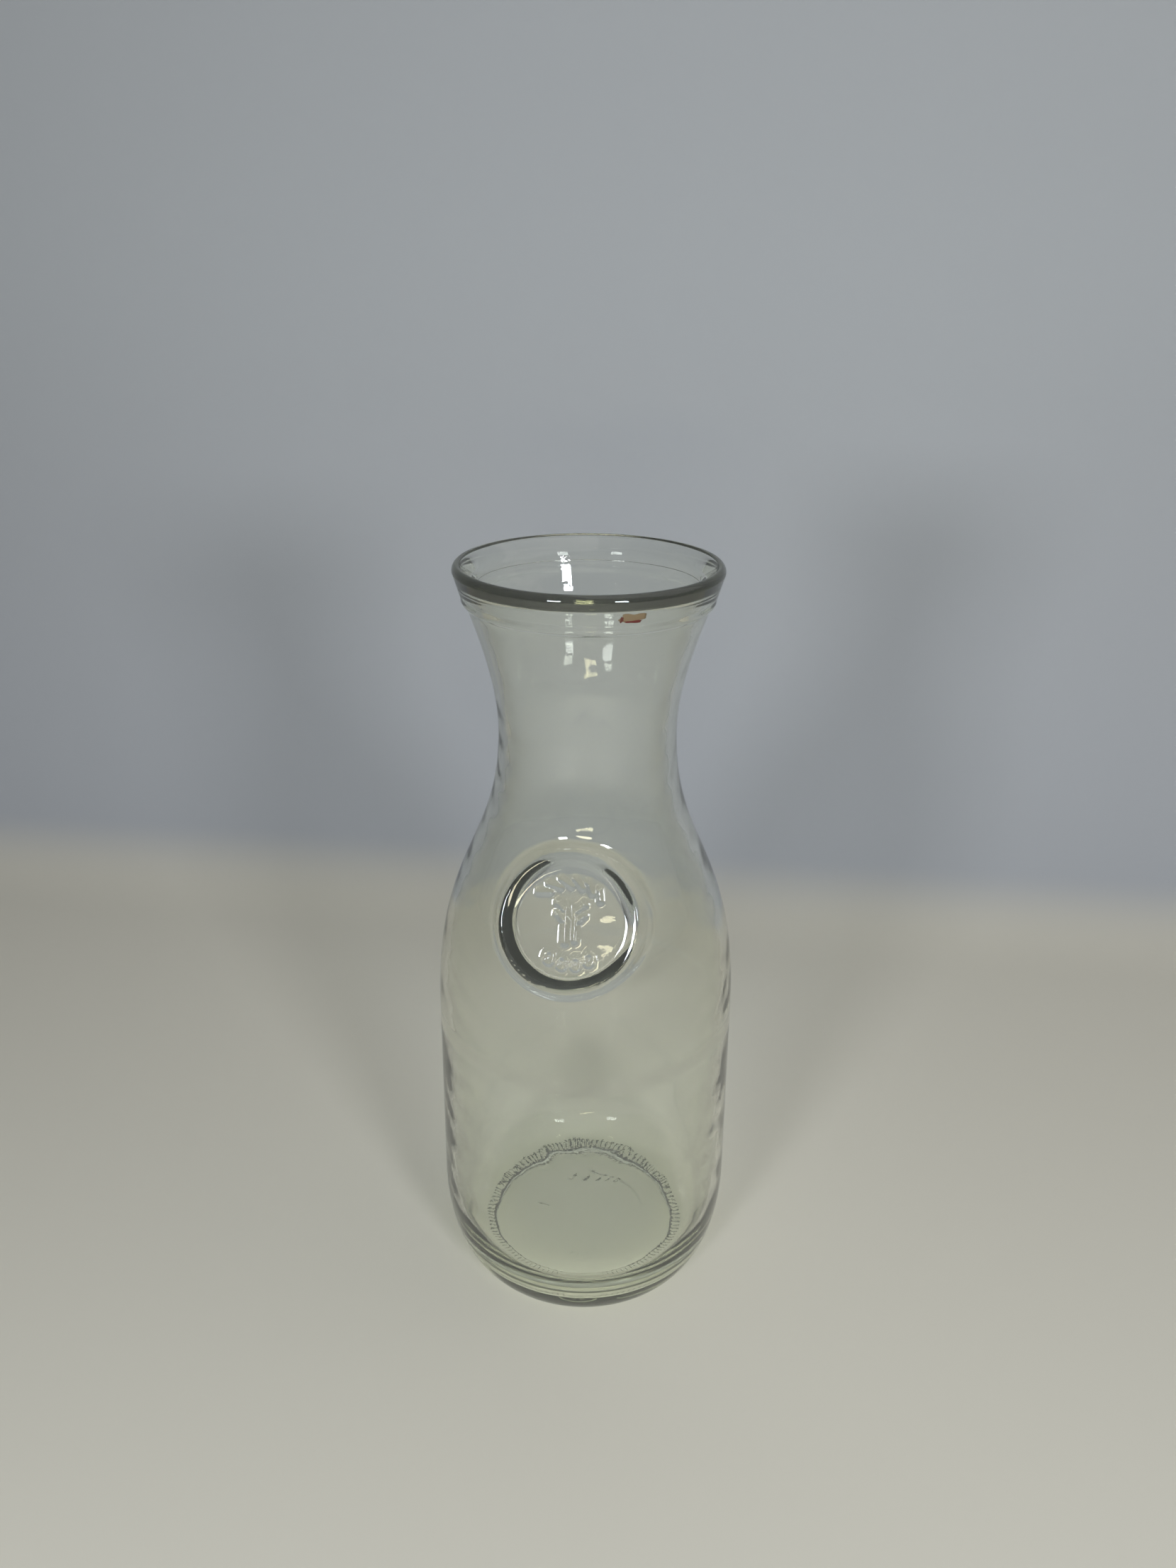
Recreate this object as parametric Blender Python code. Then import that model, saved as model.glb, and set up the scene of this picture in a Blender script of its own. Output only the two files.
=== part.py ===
# Wide-mouthed glass bottle with a waisted neck, a big rounded heel and a round seal on its shoulder.
# Metres, +Z up. The origin is on the table, under the middle of the base, and the seal faces -Y.
import math

import bmesh
import bpy
from mathutils import Matrix, Vector

# Driving dimensions. Radii are measured from the bottle's axis. The straight body takes up what the
# other heights leave of the total.
TOTAL_HEIGHT = 0.255
HEEL_HEIGHT = 0.033
SHOULDER_RISE = 0.1013  # from the top of the body up to the waist
FLARE_RISE = 0.0394  # from the waist up to the finish

BODY_RADIUS = 0.0508  # at the top of the heel
BODY_TAPER = 0.0008  # what the body loses in radius up to the shoulder
WAIST_RADIUS = 0.0279
LIP_RADIUS = 0.0405

# Finish: the lip, a taper down to a groove, and the band that the neck-ring mould leaves.
LIP_WALL = 0.0054
LIP_ROUND = 0.0020
LIP_TAPER = 0.0019
LIP_DEPTH = 0.0086  # from the top of the lip to the groove
GROOVE_DEPTH = 0.0004
BAND_HEIGHT = 0.0030
BAND_INSET = 0.0004  # of the band inside the foot of the taper
BAND_STEP = 0.0013  # how far the band stands proud of the neck below it
BAND_ROUND = 0.0008

# Glass thickness.
BODY_WALL = 0.0032
FLOOR_THICKNESS = 0.0058
INNER_HEEL_WIDTH = 0.0150

# Base: a knurled bearing ring round a shallow punt.
BEARING_RADIUS = 0.0366
BEARING_WIDTH = 0.0034
PUNT_STEP = 0.0012
PUNT_SLOPE = 0.0014
PUNT_RISE = 0.0024
KNURLS = 120
KNURL_WIDTH = 0.0009
KNURL_DEPTH = 0.00035

# Seal: a flat disc with a raised rim, standing on the sloping shoulder.
SEAL_DROP = 0.0485  # from the waist down to its centre
SEAL_RADIUS = 0.0218
SEAL_STAND = 0.0012  # of the disc above the glass at its centre
SEAL_RIM_RISE = 0.0007
SEAL_RIM_WIDTH = 0.0016
SEAL_SKIRT = 0.0032  # width of the slope from the rim out to the edge
SEAL_EDGE = 0.0006  # thickness of the seal at its outer edge
SEAL_SEAT_GAP = 0.0003

# Fineness of the faceted surfaces.
TURN_STEPS = 60
SEAL_STEPS = 60
SHOULDER_STEPS = 12
FLARE_STEPS = 7
HEEL_STEPS = 6
ROUND_STEPS = 3

# Places that follow from the sizes above.
FINISH_HEIGHT = LIP_DEPTH + BAND_HEIGHT
NECK_TOP = TOTAL_HEIGHT - FINISH_HEIGHT
WAIST_HEIGHT = NECK_TOP - FLARE_RISE
BODY_TOP = WAIST_HEIGHT - SHOULDER_RISE
BODY_TOP_RADIUS = BODY_RADIUS - BODY_TAPER
BAND_RADIUS = LIP_RADIUS - LIP_TAPER - BAND_INSET
NECK_TOP_RADIUS = BAND_RADIUS - BAND_STEP
PUNT_EDGE = PUNT_STEP + PUNT_RISE
SEAL_HEIGHT = WAIST_HEIGHT - SEAL_DROP
SEAL_CREST_RADIUS = SEAL_RADIUS - SEAL_SKIRT
SEAL_DISC_RADIUS = SEAL_CREST_RADIUS - SEAL_RIM_WIDTH


def arc(centre_r, centre_z, size_r, size_z, start, end, steps):
    """Points of an elliptical arc in the (radius, height) plane, angles in degrees from outwards."""
    angles = [math.radians(start + (end - start) * i / steps) for i in range(steps + 1)]
    return [(centre_r + size_r * math.cos(a), centre_z + size_z * math.sin(a)) for a in angles]


def bezier(a, b, c, d, steps):
    """Points of a cubic curve from a to d, leaving along a-b and arriving along c-d."""
    points = []
    for i in range(steps + 1):
        t = i / steps
        s = 1.0 - t
        weights = (s * s * s, 3.0 * s * s * t, 3.0 * s * t * t, t * t * t)
        points.append(tuple(sum(w * p[k] for w, p in zip(weights, (a, b, c, d))) for k in (0, 1)))
    return points


def flare(steps):
    """The neck from the finish down to the waist."""
    steep = 0.26 * FLARE_RISE
    lean = 0.36 * steep
    return bezier(
        (NECK_TOP_RADIUS, NECK_TOP),
        (NECK_TOP_RADIUS - lean, NECK_TOP - steep),
        (WAIST_RADIUS, WAIST_HEIGHT + 0.34 * FLARE_RISE),
        (WAIST_RADIUS, WAIST_HEIGHT),
        steps,
    )


def shoulder(steps):
    """The long S of the shoulder, from the waist down to the straight body."""
    return bezier(
        (WAIST_RADIUS, WAIST_HEIGHT),
        (WAIST_RADIUS, WAIST_HEIGHT - 0.42 * SHOULDER_RISE),
        (BODY_TOP_RADIUS, BODY_TOP + 0.57 * SHOULDER_RISE),
        (BODY_TOP_RADIUS, BODY_TOP),
        steps,
    )


def finish():
    """The outside of the lip, the groove under it and the band, from the top down."""
    groove_r = LIP_RADIUS - LIP_TAPER
    groove_z = TOTAL_HEIGHT - LIP_DEPTH
    band_low = NECK_TOP + BAND_ROUND
    return (
        arc(LIP_RADIUS - LIP_ROUND, TOTAL_HEIGHT - LIP_ROUND, LIP_ROUND, LIP_ROUND, 90, 0, ROUND_STEPS)
        + [(groove_r, groove_z + GROOVE_DEPTH), (groove_r - GROOVE_DEPTH, groove_z)]
        + [(BAND_RADIUS, groove_z - GROOVE_DEPTH)]
        + arc(BAND_RADIUS - BAND_ROUND, band_low, BAND_ROUND, BAND_ROUND, 0, -90, ROUND_STEPS)
    )


def outside():
    """The outer surface, from the top of the lip down to the bearing ring."""
    ring_outer = BEARING_RADIUS + BEARING_WIDTH / 2
    heel_width = BODY_RADIUS - ring_outer
    heel = arc(ring_outer, HEEL_HEIGHT, heel_width, HEEL_HEIGHT, 0, -90, HEEL_STEPS)
    return finish() + flare(FLARE_STEPS) + shoulder(SHOULDER_STEPS)[1:] + heel


def underside():
    """The bearing ring's flat face and the punt inside it, ending on the axis."""
    ring_inner = BEARING_RADIUS - BEARING_WIDTH / 2
    punt = arc(0.0, PUNT_STEP, ring_inner - PUNT_SLOPE, PUNT_RISE, 0, 90, ROUND_STEPS)
    return [(ring_inner, 0.0)] + punt[:-1] + [(0.0, PUNT_EDGE)]


def thinned(points, wall):
    """The points moved by the wall into the glass, square to the line that they follow."""
    moved = []
    for i, (r, z) in enumerate(points):
        before, after = points[max(i - 1, 0)], points[min(i + 1, len(points) - 1)]
        run = Vector((after[0] - before[0], after[1] - before[1])).normalized()
        moved.append((r + wall * run.y, z - wall * run.x))
    return moved


def inside():
    """The inner surface, from the middle of the floor up to the lip."""
    floor_z = FLOOR_THICKNESS + PUNT_EDGE / 2
    inner_radius = BODY_RADIUS - BODY_WALL
    floor_r = inner_radius - INNER_HEEL_WIDTH
    heel_rise = HEEL_HEIGHT - floor_z
    heel = arc(floor_r, HEEL_HEIGHT, INNER_HEEL_WIDTH, heel_rise, -90, 0, HEEL_STEPS)
    wall = thinned(flare(FLARE_STEPS) + shoulder(SHOULDER_STEPS)[1:], BODY_WALL)[::-1]
    lip_inner = LIP_RADIUS - LIP_WALL
    lip = arc(lip_inner + LIP_ROUND, TOTAL_HEIGHT - LIP_ROUND, LIP_ROUND, LIP_ROUND, 180, 90, ROUND_STEPS)
    return [(0.0, floor_z)] + heel + wall + lip


def outer_radius(height):
    """The bottle's outer radius at a height on the flare, shoulder or body."""
    line = outside()
    for (r_up, z_up), (r_down, z_down) in zip(line, line[1:]):
        if z_down <= height < z_up:
            return r_down + (r_up - r_down) * (height - z_down) / (z_up - z_down)
    return LIP_RADIUS


def material(name, colour, roughness):
    made = bpy.data.materials.new(name)
    made.use_nodes = True
    shader = made.node_tree.nodes["Principled BSDF"]
    shader.inputs["Base Color"].default_value = (*colour, 1.0)
    shader.inputs["Roughness"].default_value = roughness
    shader.inputs["Metallic"].default_value = 0.0
    shader.inputs["Transmission Weight"].default_value = 0.9
    return made


def placed(name, mesh):
    made = bpy.data.objects.new(name, mesh)
    bpy.context.scene.collection.objects.link(made)
    return made


def knurl_cutter():
    """Short bars across the bearing ring, all in one mesh, that cut its knurls."""
    bars = bmesh.new()
    height = 2 * KNURL_DEPTH
    length = 2 * BEARING_WIDTH
    for i in range(KNURLS):
        turn = Matrix.Rotation(math.tau * (i + 0.5) / KNURLS, 4, "Z")
        size = Matrix.Diagonal((length, KNURL_WIDTH, height, 1.0))
        place = turn @ Matrix.Translation((BEARING_RADIUS, 0.0, 0.0)) @ size
        bmesh.ops.create_cube(bars, size=1.0, matrix=place)
    mesh = bpy.data.meshes.new("knurl_cutter")
    bars.to_mesh(mesh)
    bars.free()
    cutter = placed("knurl_cutter", mesh)
    cutter.hide_render = True
    cutter.display_type = "WIRE"
    return cutter


def bottle(glass):
    """The blown body with its neck, finish and base: one outline turned round the axis."""
    outline = inside() + outside() + underside()
    mesh = bpy.data.meshes.new("bottle")
    points = [(r, 0.0, z) for r, z in outline]
    mesh.from_pydata(points, [(i, i + 1) for i in range(len(points) - 1)], [])
    mesh.materials.append(glass)
    made = placed("bottle", mesh)
    turned = made.modifiers.new("turn", "SCREW")
    turned.axis = "Z"
    turned.angle = math.tau
    turned.steps = TURN_STEPS
    turned.render_steps = TURN_STEPS
    turned.use_merge_vertices = True
    turned.merge_threshold = 0.00001
    turned.use_smooth_shade = True
    cut = made.modifiers.new("knurls", "BOOLEAN")
    cut.operation = "DIFFERENCE"
    cut.solver = "EXACT"
    cut.object = knurl_cutter()
    return made


def seal_frame():
    """The seal's centre on the shoulder, and the directions across, up and out of its face."""
    rise = 0.002
    slope = (outer_radius(SEAL_HEIGHT + rise) - outer_radius(SEAL_HEIGHT - rise)) / (2 * rise)
    out = Vector((0.0, -1.0, -slope)).normalized()
    across = Vector((1.0, 0.0, 0.0))
    return Vector((0.0, -outer_radius(SEAL_HEIGHT), SEAL_HEIGHT)), across, out.cross(across), out


def shoulder_below(u, v):
    """How far out along the seal's axis the shoulder lies at (u, v) on the seal's face."""
    centre, across, up, out = seal_frame()
    low, high = -SEAL_RADIUS, SEAL_RADIUS / 2
    for _ in range(40):
        middle = (low + high) / 2
        at = centre + across * u + up * v + out * middle
        if math.hypot(at.x, at.y) > outer_radius(at.z):
            high = middle
        else:
            low = middle
    return high


def seal_face(distance, seat):
    """How far out the seal's front lies at this distance from its centre, over its seat."""
    if distance <= SEAL_DISC_RADIUS:
        return SEAL_STAND
    if distance <= SEAL_CREST_RADIUS:
        return SEAL_STAND + SEAL_RIM_RISE
    fall = (distance - SEAL_CREST_RADIUS) / SEAL_SKIRT
    top, edge = SEAL_STAND + SEAL_RIM_RISE, seat + SEAL_EDGE
    return top + (edge - top) * math.sin(fall * math.pi / 2)


def seal(glass):
    """The round seal: a disc and its raised rim in front, and a back that follows the shoulder."""
    centre, across, up, out = seal_frame()
    disc = [SEAL_DISC_RADIUS / 2, SEAL_DISC_RADIUS]
    rim = [SEAL_DISC_RADIUS + SEAL_RIM_WIDTH / 3, SEAL_CREST_RADIUS]
    skirt = [SEAL_CREST_RADIUS + SEAL_SKIRT * i / ROUND_STEPS for i in range(1, ROUND_STEPS + 1)]
    front = disc + rim + skirt
    back = [SEAL_RADIUS * share for share in (1.0, 0.75, 0.5, 0.25)]
    made = bmesh.new()

    def ring(distance, facing_out):
        loop = []
        for i in range(SEAL_STEPS):
            angle = math.tau * i / SEAL_STEPS
            u, v = distance * math.cos(angle), distance * math.sin(angle)
            seat = shoulder_below(u, v) + SEAL_SEAT_GAP
            depth = seal_face(distance, seat) if facing_out else seat
            loop.append(made.verts.new(centre + across * u + up * v + out * depth))
        return loop

    rings = [ring(d, True) for d in front] + [ring(d, False) for d in back]
    tip = made.verts.new(centre + out * SEAL_STAND)
    tail = made.verts.new(centre + out * (shoulder_below(0.0, 0.0) + SEAL_SEAT_GAP))
    for i in range(SEAL_STEPS):
        j = (i + 1) % SEAL_STEPS
        made.faces.new((tip, rings[0][i], rings[0][j]))
        made.faces.new((tail, rings[-1][j], rings[-1][i]))
        for inner, outer in zip(rings, rings[1:]):
            made.faces.new((inner[i], outer[i], outer[j], inner[j]))
    bmesh.ops.recalc_face_normals(made, faces=made.faces)
    mesh = bpy.data.meshes.new("shoulder_seal")
    made.to_mesh(mesh)
    made.free()
    mesh.shade_smooth()
    mesh.set_sharp_from_angle(angle=math.radians(40))
    mesh.materials.append(glass)
    return placed("shoulder_seal", mesh)


for old in list(bpy.data.objects):
    bpy.data.objects.remove(old)

bottle(material("bottle_glass", (0.78, 0.80, 0.74), 0.03))
seal(material("seal_glass", (0.70, 0.74, 0.67), 0.04))
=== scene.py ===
# A wide-mouthed glass milk bottle, empty and open, standing on a pale studio sweep.
import math

import bpy
import numpy as np
from mathutils import Matrix, Vector


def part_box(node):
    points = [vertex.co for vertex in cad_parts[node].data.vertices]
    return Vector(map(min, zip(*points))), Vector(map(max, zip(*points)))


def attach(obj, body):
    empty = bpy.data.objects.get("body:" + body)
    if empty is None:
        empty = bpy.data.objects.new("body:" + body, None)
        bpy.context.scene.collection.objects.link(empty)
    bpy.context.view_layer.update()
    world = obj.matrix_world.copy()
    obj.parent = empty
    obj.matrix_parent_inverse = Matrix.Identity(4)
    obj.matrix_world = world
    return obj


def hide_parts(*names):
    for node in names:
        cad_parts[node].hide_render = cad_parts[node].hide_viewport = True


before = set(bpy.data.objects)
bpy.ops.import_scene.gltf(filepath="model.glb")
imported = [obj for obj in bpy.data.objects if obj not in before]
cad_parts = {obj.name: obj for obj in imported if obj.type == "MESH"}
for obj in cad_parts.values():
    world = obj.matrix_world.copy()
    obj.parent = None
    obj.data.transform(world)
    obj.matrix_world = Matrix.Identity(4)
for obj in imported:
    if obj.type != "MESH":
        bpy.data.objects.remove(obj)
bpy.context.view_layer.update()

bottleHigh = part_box("bottle")[1]
totalHeight = bottleHigh.z
bodyRadius = bottleHigh.x
print("frame loaded, bottle", round(totalHeight, 4), "m tall")


# outlines, as (radius, height) points
def arc(centreR, centreZ, sizeR, sizeZ, start, end, steps):
    turns = [math.radians(start + (end - start) * i / steps) for i in range(steps + 1)]
    return [(centreR + sizeR * math.cos(t), centreZ + sizeZ * math.sin(t)) for t in turns]


def sweepCurve(a, b, c, d, steps):
    points = []
    for i in range(steps + 1):
        t = i / steps
        s = 1.0 - t
        share = (s * s * s, 3.0 * s * s * t, 3.0 * s * t * t, t * t * t)
        points.append(tuple(sum(w * p[k] for w, p in zip(share, (a, b, c, d))) for k in (0, 1)))
    return points


def softened(points, rounds=2):
    # cuts the corners off a line of points, its ends stay
    for _ in range(rounds):
        cut = [points[0]]
        for (r0, z0), (r1, z1) in zip(points, points[1:]):
            cut.append((0.75 * r0 + 0.25 * r1, 0.75 * z0 + 0.25 * z1))
            cut.append((0.25 * r0 + 0.75 * r1, 0.25 * z0 + 0.75 * z1))
        points = cut + [points[-1]]
    return points


def movedIn(points, wall):
    # the line moved into the glass, square to itself
    moved = []
    for i, (r, z) in enumerate(points):
        before, after = points[max(i - 1, 0)], points[min(i + 1, len(points) - 1)]
        run = Vector((after[0] - before[0], after[1] - before[1])).normalized()
        moved.append((r + wall * run.y, z - wall * run.x))
    return moved


bottleSizes = {  # metres
    "heelHeight": 0.033,
    "shoulderRise": 0.1013,
    "flareRise": 0.0394,
    "bodyTaper": 0.0008,
    "waistRadius": 0.0279,
    "lipRadius": 0.0405,
    "lipRound": 0.0021,
    "lipWidth": 0.0016,
    "crownInset": 0.0006,
    "bevelInset": 0.0009,
    "bevelDrop": 0.0008,
    "mouthRadius": 0.0344,
    "mouthDepth": 0.0052,
    "mouthLedge": 0.0010,
    "mouthSlope": 0.25,
    "lipTaper": 0.0019,
    "lipDepth": 0.0086,
    "grooveDepth": 0.00012,
    "bandHeight": 0.0030,
    "bandInset": 0.0004,
    "bandStep": 0.0013,
    "stepAbove": 0.0007,
    "stepBelow": 0.0005,
    "flareStart": 0.0008,
    "wall": 0.0032,
    "floorThickness": 0.0058,
    "innerHeelWidth": 0.0135,
    "bearingRadius": 0.0366,
    "bearingWidth": 0.0034,
    "puntStep": 0.0012,
    "puntSlope": 0.0014,
    "puntRise": 0.0024,
    "knurls": 120,
    "knurlDepth": 0.0005,
    "markDepth": 0.0007,
    "markEdge": 0.00018,
    "sealDrop": 0.0485,
}
fineness = {  # how many columns and rows the skin has, and how far apart
    "plainColumns": 144,
    "baseColumns": 288,
    "knurlColumns": 720,
    "shoulderRows": 370,
    "innerShoulderRows": 84,
    "bodyRows": 24,
    "heelRows": 34,
    "innerHeelRows": 22,
    "floorRows": 14,
    "lipRows": 14,
    "flareRows": 26,
    "mouthRows": 40,
    "ringRows": 7,
    "puntRows": 44,
    "sealZone": 0.0265,
    "discZone": 0.0165,
    "haloSpacing": 0.0008,
    "plainSpacing": 0.0021,
    "knurlTop": 0.0014,
}
size = bottleSizes
neckTop = totalHeight - size["lipDepth"] - size["bandHeight"]
waistHeight = neckTop - size["flareRise"]
bodyTop = waistHeight - size["shoulderRise"]
bodyTopRadius = bodyRadius - size["bodyTaper"]
bandRadius = size["lipRadius"] - size["lipTaper"] - size["bandInset"]
neckTopRadius = bandRadius - size["bandStep"]
puntEdge = size["puntStep"] + size["puntRise"]
ringOuter = size["bearingRadius"] + size["bearingWidth"] / 2
ringInner = size["bearingRadius"] - size["bearingWidth"] / 2


def flareLine(steps):
    steep = 0.26 * size["flareRise"]
    return sweepCurve(
        (neckTopRadius, neckTop),
        (neckTopRadius - 0.36 * steep, neckTop - steep),
        (size["waistRadius"], waistHeight + 0.34 * size["flareRise"]),
        (size["waistRadius"], waistHeight),
        steps,
    )


def shoulderLine(steps):
    return sweepCurve(
        (size["waistRadius"], waistHeight),
        (size["waistRadius"], waistHeight - 0.42 * size["shoulderRise"]),
        (bodyTopRadius, bodyTop + 0.57 * size["shoulderRise"]),
        (bodyTopRadius, bodyTop),
        steps,
    )


def finishLine():
    # lip, taper, groove and band, from the crown of the lip down to the neck
    groove = size["grooveDepth"]
    grooveR = size["lipRadius"] - size["lipTaper"]
    grooveZ = totalHeight - size["lipDepth"]
    lip = arc(size["lipRadius"] - size["lipWidth"], totalHeight - size["lipRound"],
              size["lipWidth"], size["lipRound"], 90, 0, fineness["lipRows"])
    below = [(size["lipRadius"], totalHeight - size["lipRound"]), (grooveR, grooveZ + groove),
             (grooveR - groove, grooveZ), (bandRadius, grooveZ - groove),
             (bandRadius, neckTop + size["stepAbove"]),
             (neckTopRadius, neckTop - size["stepBelow"])]
    return lip[:-1] + softened(below, 3)


def outerLine():
    flare = [p for p in flareLine(fineness["flareRows"]) if p[1] < neckTop - size["flareStart"]]
    return finishLine() + flare + shoulderLine(fineness["shoulderRows"])[1:]


def innerLine():
    # from the middle of the floor up over the heel and the wall to the crown of the lip
    floorZ = size["floorThickness"] + puntEdge / 2
    floorR = bodyRadius - size["wall"] - size["innerHeelWidth"]
    floor = [(floorR * i / fineness["floorRows"], floorZ) for i in range(1, fineness["floorRows"])]
    heel = arc(floorR, size["heelHeight"], size["innerHeelWidth"], size["heelHeight"] - floorZ,
               -90, 0, fineness["innerHeelRows"])
    rows = fineness["bodyRows"]
    body = [(bodyRadius - size["wall"], size["heelHeight"] + (bodyTop - size["heelHeight"]) * i / rows)
            for i in range(1, rows)]
    wall = movedIn(shoulderLine(fineness["innerShoulderRows"]), size["wall"])[::-1]
    # the mouth: funnel down to the waist, a fine ledge left by the plunger, the roll of the lip
    mouthR, mouthZ = size["mouthRadius"], totalHeight - size["mouthDepth"]
    ledge = size["mouthLedge"]
    fall = 0.30 * size["flareRise"]
    funnel = sweepCurve(
        wall[-1],
        (wall[-1][0], waistHeight + 0.36 * size["flareRise"]),
        (mouthR - ledge - size["mouthSlope"] * fall, mouthZ - fall),
        (mouthR - ledge, mouthZ),
        fineness["mouthRows"],
    )
    crown = size["lipRadius"] - size["lipWidth"]
    foot = (mouthR, mouthZ + ledge)
    rim = (crown - size["bevelInset"], totalHeight - size["bevelDrop"])
    slope = [(foot[0] + (rim[0] - foot[0]) * k, foot[1] + (rim[1] - foot[1]) * k)
             for k in (0.04, 0.12, 0.3, 0.6, 1.0)]
    top = [(crown - size["crownInset"], totalHeight), (crown, totalHeight)]
    lip = [foot] + softened(slope + top, 2)
    return floor + heel + body + wall + funnel[1:] + lip


# seal: its own flat frame on the shoulder, u across, v up, w outwards
sealShape = {
    "stand": 0.0012,
    "rimRise": 0.0008,
    "discRadius": 0.0162,
    "crestRadius": 0.0204,
    "haloRadius": 0.0256,
    "skirtBias": 0.85,
    "skirtPower": 1.2,
    "hollowDepth": 0.0019,
    "hollowRadius": 0.0155,
    "hollowEdge": 0.0216,
    "hollowEase": 0.18,
    "gentleShare": 0.5,
    "gentleTurn": -0.1,
    "gentleSpread": 0.42,
    "reliefHeight": 0.0010,
    "reliefEdge": 0.00034,
    "sprigHeight": 0.0015,
    "sprigEdge": 0.00040,
}


def shoulderRadius(height):
    line = shoulderLine(60)
    for (rUp, zUp), (rDown, zDown) in zip(line, line[1:]):
        if zDown <= height <= zUp:
            return rDown + (rUp - rDown) * (height - zDown) / (zUp - zDown)
    return bodyTopRadius


sealHeight = waistHeight - size["sealDrop"]
reach = 0.002  # the shoulder's slope is taken this far above and below the seal's middle
sealSlope = (shoulderRadius(sealHeight + reach) - shoulderRadius(sealHeight - reach)) / (2 * reach)
sealOut = Vector((0.0, -1.0, -sealSlope)).normalized()
sealAcross = Vector((1.0, 0.0, 0.0))
sealUp = sealOut.cross(sealAcross)
sealCentre = Vector((0.0, -shoulderRadius(sealHeight), sealHeight))


def strokeHeight(x, y, strokes, softness):
    # a soft ridge along each (x0, y0, x1, y1, half width) stroke, 1 on its crest
    ridge = np.zeros_like(x)
    for x0, y0, x1, y1, half in strokes:
        dx, dy = x1 - x0, y1 - y0
        along = np.clip(((x - x0) * dx + (y - y0) * dy) / max(dx * dx + dy * dy, 1e-12), 0, 1)
        away = np.hypot(x - x0 - along * dx, y - y0 - along * dy)
        ridge = np.maximum(ridge, 1 / (1 + np.exp((away - half) / softness)))
    return ridge


def borderStrokes():
    # six leaves along the top of the seal and four beads along its bottom
    strokes = []
    for i in range(6):
        a = math.radians(132 - i * 17)
        x, y = 0.0122 * math.cos(a), 0.0122 * math.sin(a)
        dx, dy = 0.0017 * math.cos(a + 0.9), 0.0017 * math.sin(a + 0.9)
        strokes.append((x - dx, y - dy, x + dx, y + dy, 0.00055))
    for i in range(4):
        a = math.radians(-120 + i * 20)
        x, y = 0.0120 * math.cos(a), 0.0120 * math.sin(a)
        ring = [(x + 0.0014 * math.cos(k * math.tau / 10), y + 0.0019 * math.sin(k * math.tau / 10))
                for k in range(10)]
        for (x0, y0), (x1, y1) in zip(ring, ring[1:] + ring[:1]):
            strokes.append((x0, y0, x1, y1, 0.00040))
    return strokes


def sprigStrokes():
    # two stems and four leaves in the middle of the seal
    strokes = [(-0.0014, -0.0056, -0.0014, 0.0050, 0.0008), (0.0014, -0.0048, 0.0014, 0.0042, 0.0006)]
    for side in (-1, 1):
        for y in (0.0002, 0.0034):
            strokes.append((side * 0.0014, y, side * 0.0038, y + 0.0026, 0.0006))
    return strokes


def sealPlace(points):
    # the points in the seal's own frame, with a slightly uneven distance from its middle
    basis = np.array([sealAcross, sealUp, sealOut])
    flat = (points - np.array(sealCentre)) @ basis.T
    turn = np.arctan2(flat[:, 1], flat[:, 0])
    wobble = 1 + 0.012 * np.sin(2 * turn + 0.6) + 0.008 * np.sin(3 * turn + 2.0)
    wobble += 0.03 * np.cos(turn - 2.9)
    return flat, basis, np.hypot(flat[:, 0], flat[:, 1]), wobble


def raiseSeal(points):
    # lifts the outer skin into the disc, its squeezed-out rim and the soft run-out round it
    shape = sealShape
    flat, basis, d, wobble = sealPlace(points)
    w = flat[:, 2]
    crest = shape["crestRadius"] * wobble
    halo = shape["haloRadius"] * wobble
    disc = shape["discRadius"]
    across, up = flat[:, 0], flat[:, 1]
    ridge = shape["reliefHeight"] * strokeHeight(across, up, borderStrokes(), shape["reliefEdge"])
    ridge += shape["sprigHeight"] * strokeHeight(across, up, sprigStrokes(), shape["sprigEdge"])
    rimIn = np.clip((d - disc * 0.975) / (crest - disc * 0.975), 0, 1)
    top = shape["stand"] + shape["rimRise"] * (3 * rimIn**2 - 2 * rimIn**3) + ridge
    run = np.clip((d - crest) / (halo - crest), 0, 1)
    fall = (0.5 + 0.5 * np.cos(math.pi * run ** shape["skirtBias"])) ** shape["skirtPower"]
    near = (d < halo) & (w > -0.03)
    flat[:, 2] = np.where(near, np.maximum(w + (top - w) * fall, w), w)
    return flat @ basis + np.array(sealCentre)


def hollowSeal(points):
    # the inner skin follows the seal out, as glass does that is blown into its mould
    shape = sealShape
    flat, basis, d, wobble = sealPlace(points)
    w = flat[:, 2]
    turn = np.arctan2(flat[:, 1], flat[:, 0])
    aside = (turn - shape["gentleTurn"]) / shape["gentleSpread"]
    gentle = 1 + shape["gentleShare"] * np.exp(-(aside**2))
    run = np.clip((d - shape["hollowRadius"] * wobble)
                  / ((shape["hollowEdge"] - shape["hollowRadius"]) * wobble * gentle), 0, 1)
    ease = shape["hollowEase"]
    fall = 1 - np.clip((run - ease / 2) / (1 - ease), 0, 1)
    level = shape["stand"] - shape["hollowDepth"]
    near = (run < 1) & (w > -0.03)
    flat[:, 2] = np.where(near, np.maximum(w + (level - w) * fall, w), w)
    return flat @ basis + np.array(sealCentre)


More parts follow.
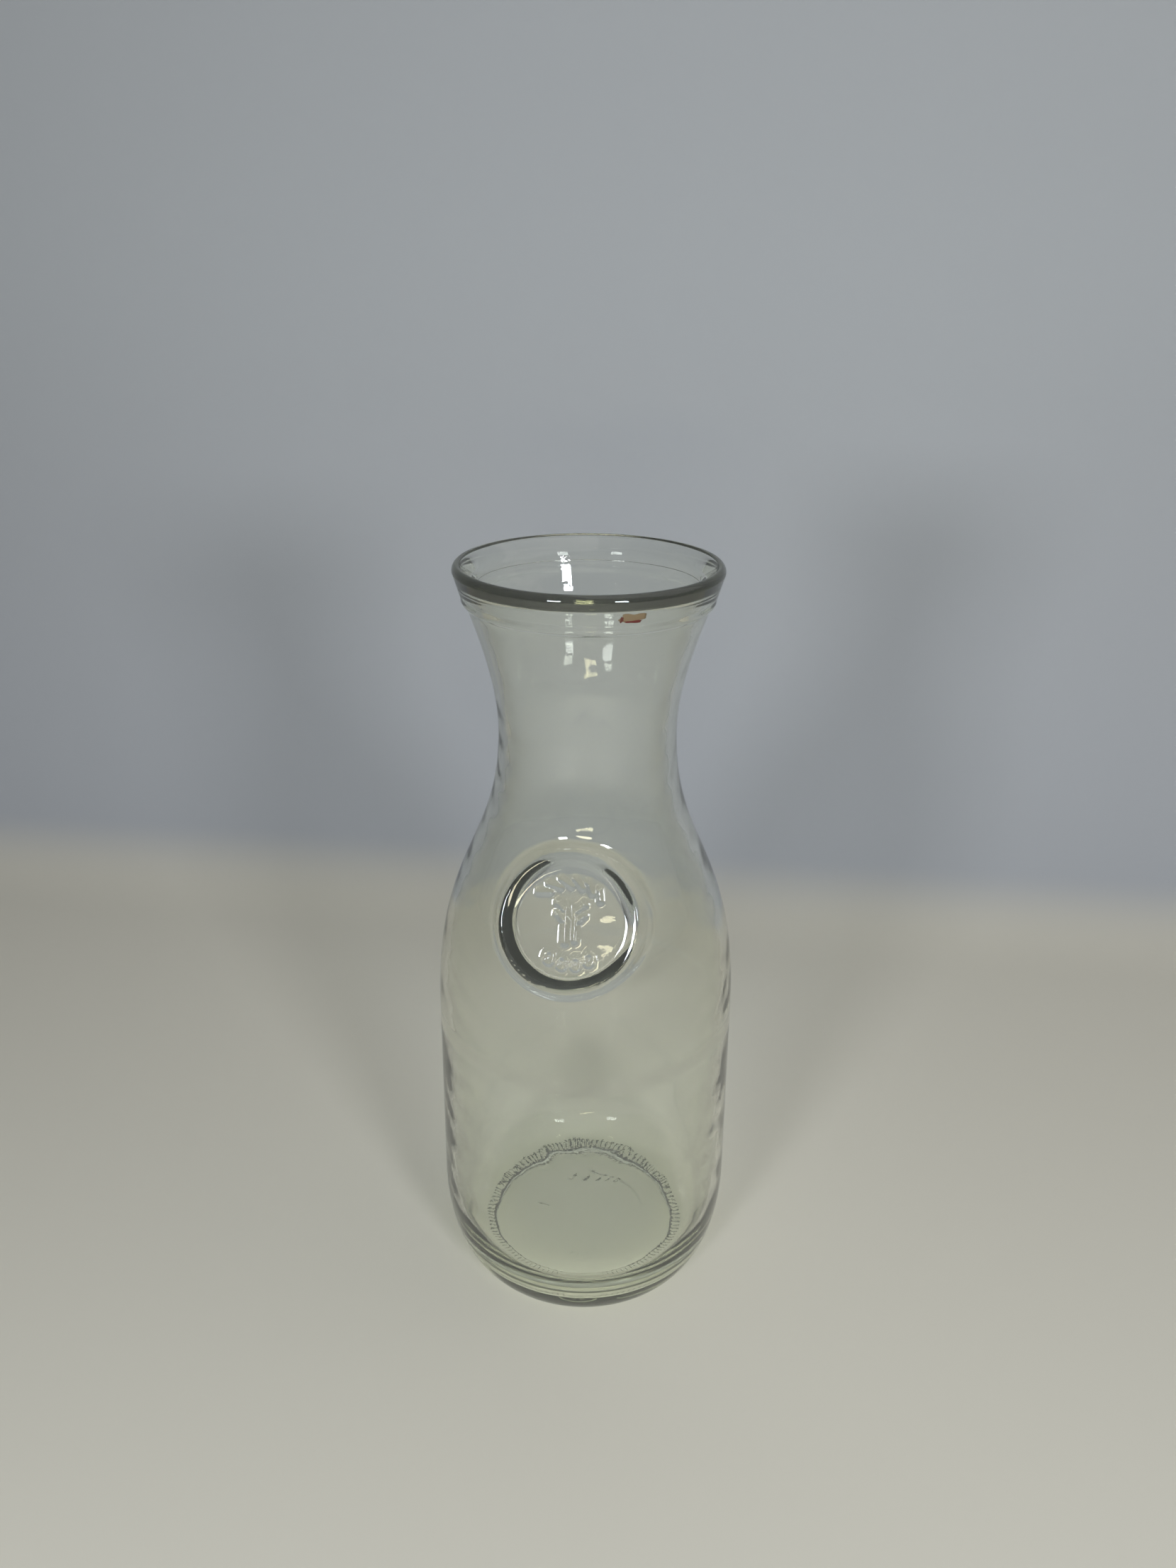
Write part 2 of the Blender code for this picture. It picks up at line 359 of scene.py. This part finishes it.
# base marks under the floor
def baseStrokes():
    strokes = []
    steps = 40
    for i in range(steps):  # arc of the mould's inner circle
        a0, a1 = (math.radians(-60 + 150 * k / steps) for k in (i, i + 1))
        strokes.append((0.024 * math.cos(a0), 0.024 * math.sin(a0),
                        0.024 * math.cos(a1), 0.024 * math.sin(a1), 0.00025))
    for i in range(5):  # a row of small bars
        x = -0.006 + i * 0.0045
        strokes.append((x - 0.0008, 0.0185, x + 0.0009, 0.0205, 0.00035))
    for k in range(14):  # an oval round two bars
        a0, a1 = (math.tau * j / 14 for j in (k, k + 1))
        strokes.append((0.001 + 0.0042 * math.cos(a0), -0.021 + 0.0026 * math.sin(a0),
                        0.001 + 0.0042 * math.cos(a1), -0.021 + 0.0026 * math.sin(a1), 0.00025))
    strokes.append((0.0, -0.0222, 0.0, -0.0198, 0.00030))
    strokes.append((0.0022, -0.0222, 0.0022, -0.0198, 0.00030))
    strokes.append((-0.0175, 0.002, -0.0165, 0.004, 0.0004))
    strokes.append((-0.0145, 0.002, -0.0140, 0.004, 0.0004))
    return strokes


innerWaves = {
    "wallLength": 0.034,
    "wallDepth": 0.00006,
    "fineLength": 0.009,
    "fineDepth": 0.00003,
    "floorLength": 0.024,
    "floorDepth": 0.00010,
}


def ripple(points, scale, seed, amount):
    # smooth made-up waves, the same each run
    rng = np.random.default_rng(seed)
    total = np.zeros(len(points))
    for _ in range(14):
        way = rng.normal(size=3)
        way /= np.linalg.norm(way)
        length = scale * rng.uniform(0.7, 1.5)
        total += np.sin(points @ way * math.tau / length + rng.uniform(0, math.tau))
    return total * amount / math.sqrt(7)


# the glass as one closed skin made of rings, from the middle of the floor round to the punt
def evenAngles(count):
    return np.arange(count) * math.tau / count


def sealAngles():
    # fine in front of the seal, coarse behind, as turns from the +Y side
    edges = [(0, 138, 34), (138, 154, 16), (154, 206, 150), (206, 222, 16), (222, 360, 34)]
    parts = [np.linspace(a, b, n, endpoint=False) for a, b, n in edges]
    return np.radians(np.concatenate(parts))


class Skin:
    def __init__(self):
        self.points, self.faces, self.last = [], [], None
        self.count = 0

    def ring(self, radius, height, angles):
        turn = math.pi / 2 - angles  # keeps the faces turned out of the glass
        ring = np.stack([radius * np.cos(turn), radius * np.sin(turn), np.full(len(turn), height)], 1)
        start = self.count
        self.points.append(ring)
        self.count += len(angles)
        if self.last is not None:
            self.join(self.last, (start, angles))
        self.last = (start, angles)
        return start

    def join(self, upper, lower):
        (a, one), (b, two) = upper, lower
        n, m = len(one), len(two)
        if n == m:
            for i in range(n):
                j = (i + 1) % n
                self.faces.append((a + i, a + j, b + j, b + i))
            return
        i = j = 0
        while i < n or j < m:
            nextOne = one[i + 1] if i + 1 < n else math.tau
            nextTwo = two[j + 1] if j + 1 < m else math.tau
            if i < n and (j >= m or nextOne <= nextTwo):
                self.faces.append((a + i, a + (i + 1) % n, b + j % m))
                i += 1
            else:
                self.faces.append((a + i % n, b + (j + 1) % m, b + j))
                j += 1

    def cap(self, height):
        tip = self.count
        self.points.append(np.array([[0.0, 0.0, height]]))
        self.count += 1
        start, angles = self.last
        n = len(angles)
        for i in range(n):
            self.faces.append((start + i, start + (i + 1) % n, tip))
        self.last = None
        return tip


def bottleSkin():
    skin = Skin()
    plain = evenAngles(fineness["plainColumns"])
    base = evenAngles(fineness["baseColumns"])
    fine = evenAngles(fineness["knurlColumns"])
    front = sealAngles()
    floorZ = size["floorThickness"] + puntEdge / 2
    # inner skin from the floor up
    inner = innerLine()
    tip = skin.count
    skin.points.append(np.array([[0.0, 0.0, floorZ]]))
    skin.count += 1
    low, high = sealHeight - fineness["sealZone"], sealHeight + fineness["sealZone"]
    for k, (r, z) in enumerate(inner):
        skin.ring(r, z, front if low < z < high else plain)
        if k == 0:
            for i in range(len(plain)):
                skin.faces.append((tip, 1 + (i + 1) % len(plain), 1 + i))
    innerCount = skin.count
    # outer skin down to the heel
    previous = None
    for r, z in outerLine()[1:]:
        inSeal = low < z < high
        if z < waistHeight and previous is not None:
            step = fineness["haloSpacing"] if inSeal else fineness["plainSpacing"]
            if abs(z - sealHeight) > fineness["discZone"] and previous - z < step:
                continue
        skin.ring(r, z, front if inSeal else plain)
        previous = z
    for i in range(1, fineness["bodyRows"] + 1):
        share = i / fineness["bodyRows"]
        z = bodyTop + (size["heelHeight"] - bodyTop) * share
        skin.ring(bodyTopRadius + size["bodyTaper"] * share, z, plain)
    heel = arc(ringOuter, size["heelHeight"], bodyRadius - ringOuter, size["heelHeight"], 0, -90,
               fineness["heelRows"])
    for r, z in heel[1:-1]:
        skin.ring(r, z, fine if z < fineness["knurlTop"] else plain)
    outerCount = skin.count
    # bearing ring and punt
    ringRows = fineness["ringRows"]
    for i in range(ringRows + 1):
        skin.ring(ringOuter + (ringInner - ringOuter) * i / ringRows, 0.0, fine)
    ringEnd = skin.count
    dome = arc(0.0, size["puntStep"], ringInner - size["puntSlope"], size["puntRise"], 0, 90,
               fineness["puntRows"])
    dome = [(ringInner - 0.0003, 0.0002)] + dome
    for r, z in dome[:-1]:
        if r > 0.0012:
            skin.ring(r, z, base)
    skin.cap(puntEdge)
    points = np.concatenate(skin.points)

    out = slice(innerCount, outerCount)
    points[out] = raiseSeal(points[out])
    points[:innerCount] = hollowSeal(points[:innerCount])
    radial = np.hypot(points[:, 0], points[:, 1])
    side = np.stack([points[:, 0], points[:, 1], np.zeros(len(points))], 1)
    side /= np.maximum(radial, 1e-9)[:, None]
    inside = points[:innerCount]
    waves = innerWaves
    wavyIn = ripple(inside, waves["wallLength"], 5, waves["wallDepth"])
    wavyIn += ripple(inside, waves["fineLength"], 8, waves["fineDepth"])
    height = inside[:, 2]
    calm = np.clip((totalHeight - 0.006 - height) / 0.012, 0, 1) * np.clip((height - 0.02) / 0.02, 0, 1)
    points[:innerCount] += side[:innerCount] * (wavyIn * calm)[:, None]
    wavyFloor = ripple(points[:innerCount], waves["floorLength"], 12, waves["floorDepth"])
    flat = np.clip((0.035 - radial[:innerCount]) / 0.01, 0, 1) * (height < 0.02)
    points[:innerCount, 2] += wavyFloor * flat
    # knurls across the ring
    ringPart = slice(outerCount, ringEnd)
    turn = np.arctan2(points[ringPart, 1], points[ringPart, 0])
    lift = np.clip(0.5 + 0.9 * np.cos(turn * size["knurls"]), 0, 1)
    points[ringPart, 2] += size["knurlDepth"] * lift
    puntPart = slice(ringEnd, len(points))
    ridge = strokeHeight(points[puntPart, 0], points[puntPart, 1], baseStrokes(), size["markEdge"])
    points[puntPart, 2] -= size["markDepth"] * ridge
    innerSkin = np.zeros(len(points))
    innerSkin[:innerCount] = np.clip((points[:innerCount, 2] - 0.012) / 0.01, 0, 1)
    return points, skin.faces, innerSkin


def glassMesh():
    points, faces, innerSkin = bottleSkin()
    mesh = bpy.data.meshes.new("bottleGlass")
    mesh.from_pydata(points.tolist(), [], faces)
    mesh.attributes.new("innerSkin", "FLOAT", "POINT").data.foreach_set("value", innerSkin)
    mesh.validate()
    mesh.shade_smooth()
    made = bpy.data.objects.new("bottleGlass", mesh)
    bpy.context.scene.collection.objects.link(made)
    print("glass skin:", len(points), "points,", len(faces), "faces")
    return made


fleckPlaces = {  # azimuth in degrees from the front, drop from the top of the lip
    "tanFleck": {"azimuth": 24.0, "drop": 0.0064, "width": 0.0076, "rise": 0.0026, "seed": 3,
                 "colour": (0.17, 0.12, 0.065)},
    "rustFleck": {"azimuth": 24.4, "drop": 0.0076, "width": 0.0056, "rise": 0.0008, "seed": 7,
                  "colour": (0.10, 0.012, 0.008)},
    "rustSpot": {"azimuth": 19.6, "drop": 0.0068, "width": 0.0013, "rise": 0.0016, "seed": 9,
                 "colour": (0.09, 0.02, 0.012)},
}


def outerRadius(height):
    line = outerLine()[::-1]
    return float(np.interp(height, [z for _, z in line], [r for r, _ in line]))


def fleckMesh(name, place):
    # a dried drop on the outside of the glass, a thin lens with an uneven edge
    rings, spokes, skinGap, thickness = 5, 30, 0.00003, 0.00006
    rng = np.random.default_rng(place["seed"])
    phase = rng.uniform(0, math.tau, 4)
    middle = totalHeight - place["drop"]
    points = []
    for side in (1, 0):
        for k in range(rings + 1):
            for j in range(spokes if k else 1):
                a = math.tau * j / spokes
                edge = 1 + sum(0.11 * math.sin((n + 2) * a + phase[n]) for n in range(4))
                u = 0.5 * place["width"] * k / rings * edge * math.cos(a)
                z = middle + 0.5 * place["rise"] * k / rings * edge * math.sin(a)
                r = outerRadius(z) + skinGap + side * thickness * (1.04 - (k / rings) ** 2)
                turn = math.radians(place["azimuth"]) + u / r
                points.append((r * math.sin(turn), -r * math.cos(turn), z))
    faces = []
    half = 1 + rings * spokes
    for side in (0, 1):
        start = side * half
        for j in range(spokes):
            n = (j + 1) % spokes
            rim = [(start, start + 1 + j, start + 1 + n)]
            for k in range(rings - 1):
                a, b = start + 1 + k * spokes, start + 1 + (k + 1) * spokes
                rim.append((a + j, b + j, b + n, a + n))
            faces += rim if side == 0 else [face[::-1] for face in rim]
    outer = 1 + (rings - 1) * spokes
    for j in range(spokes):
        n = (j + 1) % spokes
        faces.append((outer + j, half + outer + j, half + outer + n, outer + n))
    mesh = bpy.data.meshes.new(name)
    mesh.from_pydata(points, [], faces)
    mesh.shade_smooth()
    colour = bpy.data.materials.new(name + "Colour")
    colour.use_nodes = True
    base = colour.node_tree.nodes["Principled BSDF"]
    base.inputs["Base Color"].default_value = (*place["colour"], 1.0)
    base.inputs["Roughness"].default_value = 0.6
    mesh.materials.append(colour)
    made = bpy.data.objects.new(name, mesh)
    bpy.context.scene.collection.objects.link(made)
    return made


# materials
glassLook = {
    "ior": 1.52,
    "roughness": 0.0,
    "tint": (0.92, 0.922, 0.885),
    "clearness": 0.977,
    "depthColour": (0.885, 0.91, 0.65),
    "density": 22.0,
    "shadowTint": (0.60, 0.62, 0.64),
    "rippleSize": 1100.0,
    "rippleDepth": 0.00002,
    "rippleStrength": 0.3,
}


def glassMaterial():
    look = glassLook
    made = bpy.data.materials.new("paleGreenGlass")
    made.use_nodes = True
    nodes, links = made.node_tree.nodes, made.node_tree.links
    glass = nodes["Principled BSDF"]
    output = nodes["Material Output"]
    glass.inputs["Base Color"].default_value = (*look["tint"], 1.0)
    glass.inputs["Roughness"].default_value = look["roughness"]
    glass.inputs["IOR"].default_value = look["ior"]
    glass.inputs["Transmission Weight"].default_value = look["clearness"]
    depth = nodes.new("ShaderNodeVolumeAbsorption")
    depth.inputs["Color"].default_value = (*look["depthColour"], 1.0)
    depth.inputs["Density"].default_value = look["density"]
    links.new(depth.outputs["Volume"], output.inputs["Volume"])
    # fine hammered ripple of the inner skin
    place = nodes.new("ShaderNodeTexCoord")
    waves = nodes.new("ShaderNodeTexNoise")
    waves.inputs["Scale"].default_value = look["rippleSize"]
    waves.inputs["Detail"].default_value = 1.0
    inner = nodes.new("ShaderNodeAttribute")
    inner.attribute_name = "innerSkin"
    bump = nodes.new("ShaderNodeBump")
    bump.inputs["Distance"].default_value = look["rippleDepth"]
    amount = nodes.new("ShaderNodeMath")
    amount.operation = "MULTIPLY"
    amount.inputs[1].default_value = look["rippleStrength"]
    links.new(place.outputs["Object"], waves.inputs["Vector"])
    links.new(inner.outputs["Fac"], amount.inputs[0])
    links.new(amount.outputs["Value"], bump.inputs["Strength"])
    links.new(waves.outputs["Fac"], bump.inputs["Height"])
    links.new(bump.outputs["Normal"], glass.inputs["Normal"])
    # light passes through to the table instead of stopping at the glass
    path = nodes.new("ShaderNodeLightPath")
    clear = nodes.new("ShaderNodeBsdfTransparent")
    clear.inputs["Color"].default_value = (*look["shadowTint"], 1.0)
    mix = nodes.new("ShaderNodeMixShader")
    links.new(path.outputs["Is Shadow Ray"], mix.inputs["Fac"])
    links.new(glass.outputs["BSDF"], mix.inputs[1])
    links.new(clear.outputs["BSDF"], mix.inputs[2])
    links.new(mix.outputs["Shader"], output.inputs["Surface"])
    return made


# paper colours: the floor keeps its own warm tone; the bend and wall colours are painted shade, darker
# and cooler than the floor, standing in for how the lamps light the cove and the upright wall
paperAndShadeLook = {
    "floor": (0.70, 0.66, 0.565),
    "bendShade": (0.485, 0.495, 0.515),
    "wall": (0.52, 0.535, 0.555),
    "warmUpTo": 0.0005,
    "coolFrom": 0.015,
    "bendUpTo": 0.12,
    "wallFrom": 0.36,
}


def paperMaterial():
    look = paperAndShadeLook
    made = bpy.data.materials.new("palePaper")
    made.use_nodes = True
    nodes, links = made.node_tree.nodes, made.node_tree.links
    paper = nodes["Principled BSDF"]
    paper.inputs["Roughness"].default_value = 0.85
    paper.inputs["Specular IOR Level"].default_value = 0.2
    place = nodes.new("ShaderNodeTexCoord")
    parts = nodes.new("ShaderNodeSeparateXYZ")
    links.new(place.outputs["Object"], parts.inputs["Vector"])
    last = None
    # by height, the floor colour blends into the painted shade of the bend, then into the darker,
    # cooler painted shade of the wall
    for low, high, colour in (("warmUpTo", "coolFrom", "bendShade"), ("bendUpTo", "wallFrom", "wall")):
        rise = nodes.new("ShaderNodeMapRange")
        rise.interpolation_type = "SMOOTHSTEP"
        rise.inputs["From Min"].default_value = look[low]
        rise.inputs["From Max"].default_value = look[high]
        links.new(parts.outputs["Z"], rise.inputs["Value"])
        blend = nodes.new("ShaderNodeMix")
        blend.data_type = "RGBA"
        blend.inputs["A"].default_value = (*look["floor"], 1.0)
        blend.inputs["B"].default_value = (*look[colour], 1.0)
        links.new(rise.outputs["Result"], blend.inputs["Factor"])
        if last is not None:
            links.new(last.outputs["Result"], blend.inputs["A"])
        last = blend
    links.new(last.outputs["Result"], paper.inputs["Base Color"])
    return made


# stage
sweepSizes = {
    "bendStart": 0.20,
    "bendRadius": 0.26,
    "wallTop": 1.4,
    "halfWidth": 2.5,
    "front": -3.0,
}


def studioSweep():
    s = sweepSizes
    line = [(s["front"] + (s["bendStart"] - s["front"]) * i / 8, 0.0) for i in range(9)]
    line += [(s["bendStart"] + s["bendRadius"] * math.sin(a), s["bendRadius"] * (1 - math.cos(a)))
             for a in (math.radians(90 * i / 24) for i in range(1, 25))]
    line += [(line[-1][0], s["wallTop"])]
    points = [(x, y, z) for y, z in line for x in (-s["halfWidth"], s["halfWidth"])]
    faces = [(2 * i, 2 * i + 1, 2 * i + 3, 2 * i + 2) for i in range(len(line) - 1)]
    mesh = bpy.data.meshes.new("studioSweep")
    mesh.from_pydata(points, [], faces)
    mesh.shade_smooth()
    mesh.materials.append(paperMaterial())
    made = bpy.data.objects.new("studioSweep", mesh)
    made.location.z = -0.0001
    bpy.context.scene.collection.objects.link(made)
    return made


cameraSetting = {
    "lens": 27.0,
    "distance": 0.3435,
    "height": 0.336,
    "turn": 6.3,
    "tiltDown": 24.0,
    "roll": 0.48,
    "aside": 0.00028,
}


def placeCamera():
    c = cameraSetting
    turn = math.radians(c["turn"])
    data = bpy.data.cameras.new("camera")
    data.sensor_width = 36.0
    data.lens = c["lens"]
    data.clip_start = 0.01
    made = bpy.data.objects.new("camera", data)
    made.location = (c["distance"] * math.sin(turn) + c["aside"] * math.cos(turn),
                     -c["distance"] * math.cos(turn) + c["aside"] * math.sin(turn), c["height"])
    made.rotation_mode = "XYZ"
    rise, yaw, roll = math.radians(90 - c["tiltDown"]), turn, math.radians(c["roll"])
    spin = Matrix.Rotation(yaw, 4, "Z") @ Matrix.Rotation(rise, 4, "X") @ Matrix.Rotation(roll, 4, "Z")
    made.rotation_euler = spin.to_euler("XYZ")
    bpy.context.scene.collection.objects.link(made)
    bpy.context.scene.camera = made
    return made


def softbox(name, azimuth, elevation, distance, aim, width, height, power, colour):
    # azimuth 0 is the -Y side and grows towards +X
    a, e = math.radians(azimuth), math.radians(elevation)
    data = bpy.data.lights.new(name, "AREA")
    data.shape = "RECTANGLE"
    data.size, data.size_y = width, height
    data.energy = power
    data.color = colour
    made = bpy.data.objects.new(name, data)
    way = Vector((math.sin(a) * math.cos(e), -math.cos(a) * math.cos(e), math.sin(e)))
    made.location = Vector(aim) + way * distance
    made.rotation_euler = way.to_track_quat("Z", "Y").to_euler()
    bpy.context.scene.collection.objects.link(made)
    return made


# turn is how far a lamp stands to the right of the camera, in degrees
studioLamps = {
    "panelLeft": {"turn": -27, "rise": 14, "distance": 0.80, "aim": (0.0, 0.0, 0.16),
                  "size": (0.14, 0.12), "power": 3.0, "colour": (0.88, 0.94, 1.0)},
    "panelRight": {"turn": 26, "rise": 17, "distance": 0.80, "aim": (0.0, 0.0, 0.16),
                   "size": (0.14, 0.12), "power": 3.0, "colour": (0.88, 0.94, 1.0)},
    "panelWarm": {"turn": -3, "rise": 7.6, "distance": 0.95, "aim": (0.0, 0.0, 0.16),
                  "size": (0.26, 0.045), "power": 0.6, "colour": (1.0, 0.93, 0.66)},
    "ceiling": {"turn": 98.7, "rise": 62, "distance": 1.1, "aim": (0.0, 0.12, 0.0),
                "size": (1.5, 1.5), "power": 3.45, "colour": (1.0, 0.985, 0.95)},
}
roomLight = {"colour": (0.90, 0.95, 1.0), "strength": 0.135}


def lightStudio():
    for name, lamp in studioLamps.items():
        softbox(name, cameraSetting["turn"] + lamp["turn"], lamp["rise"], lamp["distance"],
                lamp["aim"], *lamp["size"], lamp["power"], lamp["colour"])
    world = bpy.data.worlds.new("room")
    bpy.context.scene.world = world
    world.use_nodes = True
    background = world.node_tree.nodes["Background"]
    background.inputs["Color"].default_value = (*roomLight["colour"], 1.0)
    background.inputs["Strength"].default_value = roomLight["strength"]
    bpy.context.scene.view_settings.view_transform = "Standard"


glass = glassMesh()
glass.data.materials.append(glassMaterial())
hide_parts("bottle", "shoulder_seal")
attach(glass, "root")
for name, place in fleckPlaces.items():
    fleck = fleckMesh(name, place)
    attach(fleck, "root")
print("dried flecks laid on the glass")
studioSweep()
placeCamera()
lightStudio()
print("stage set")
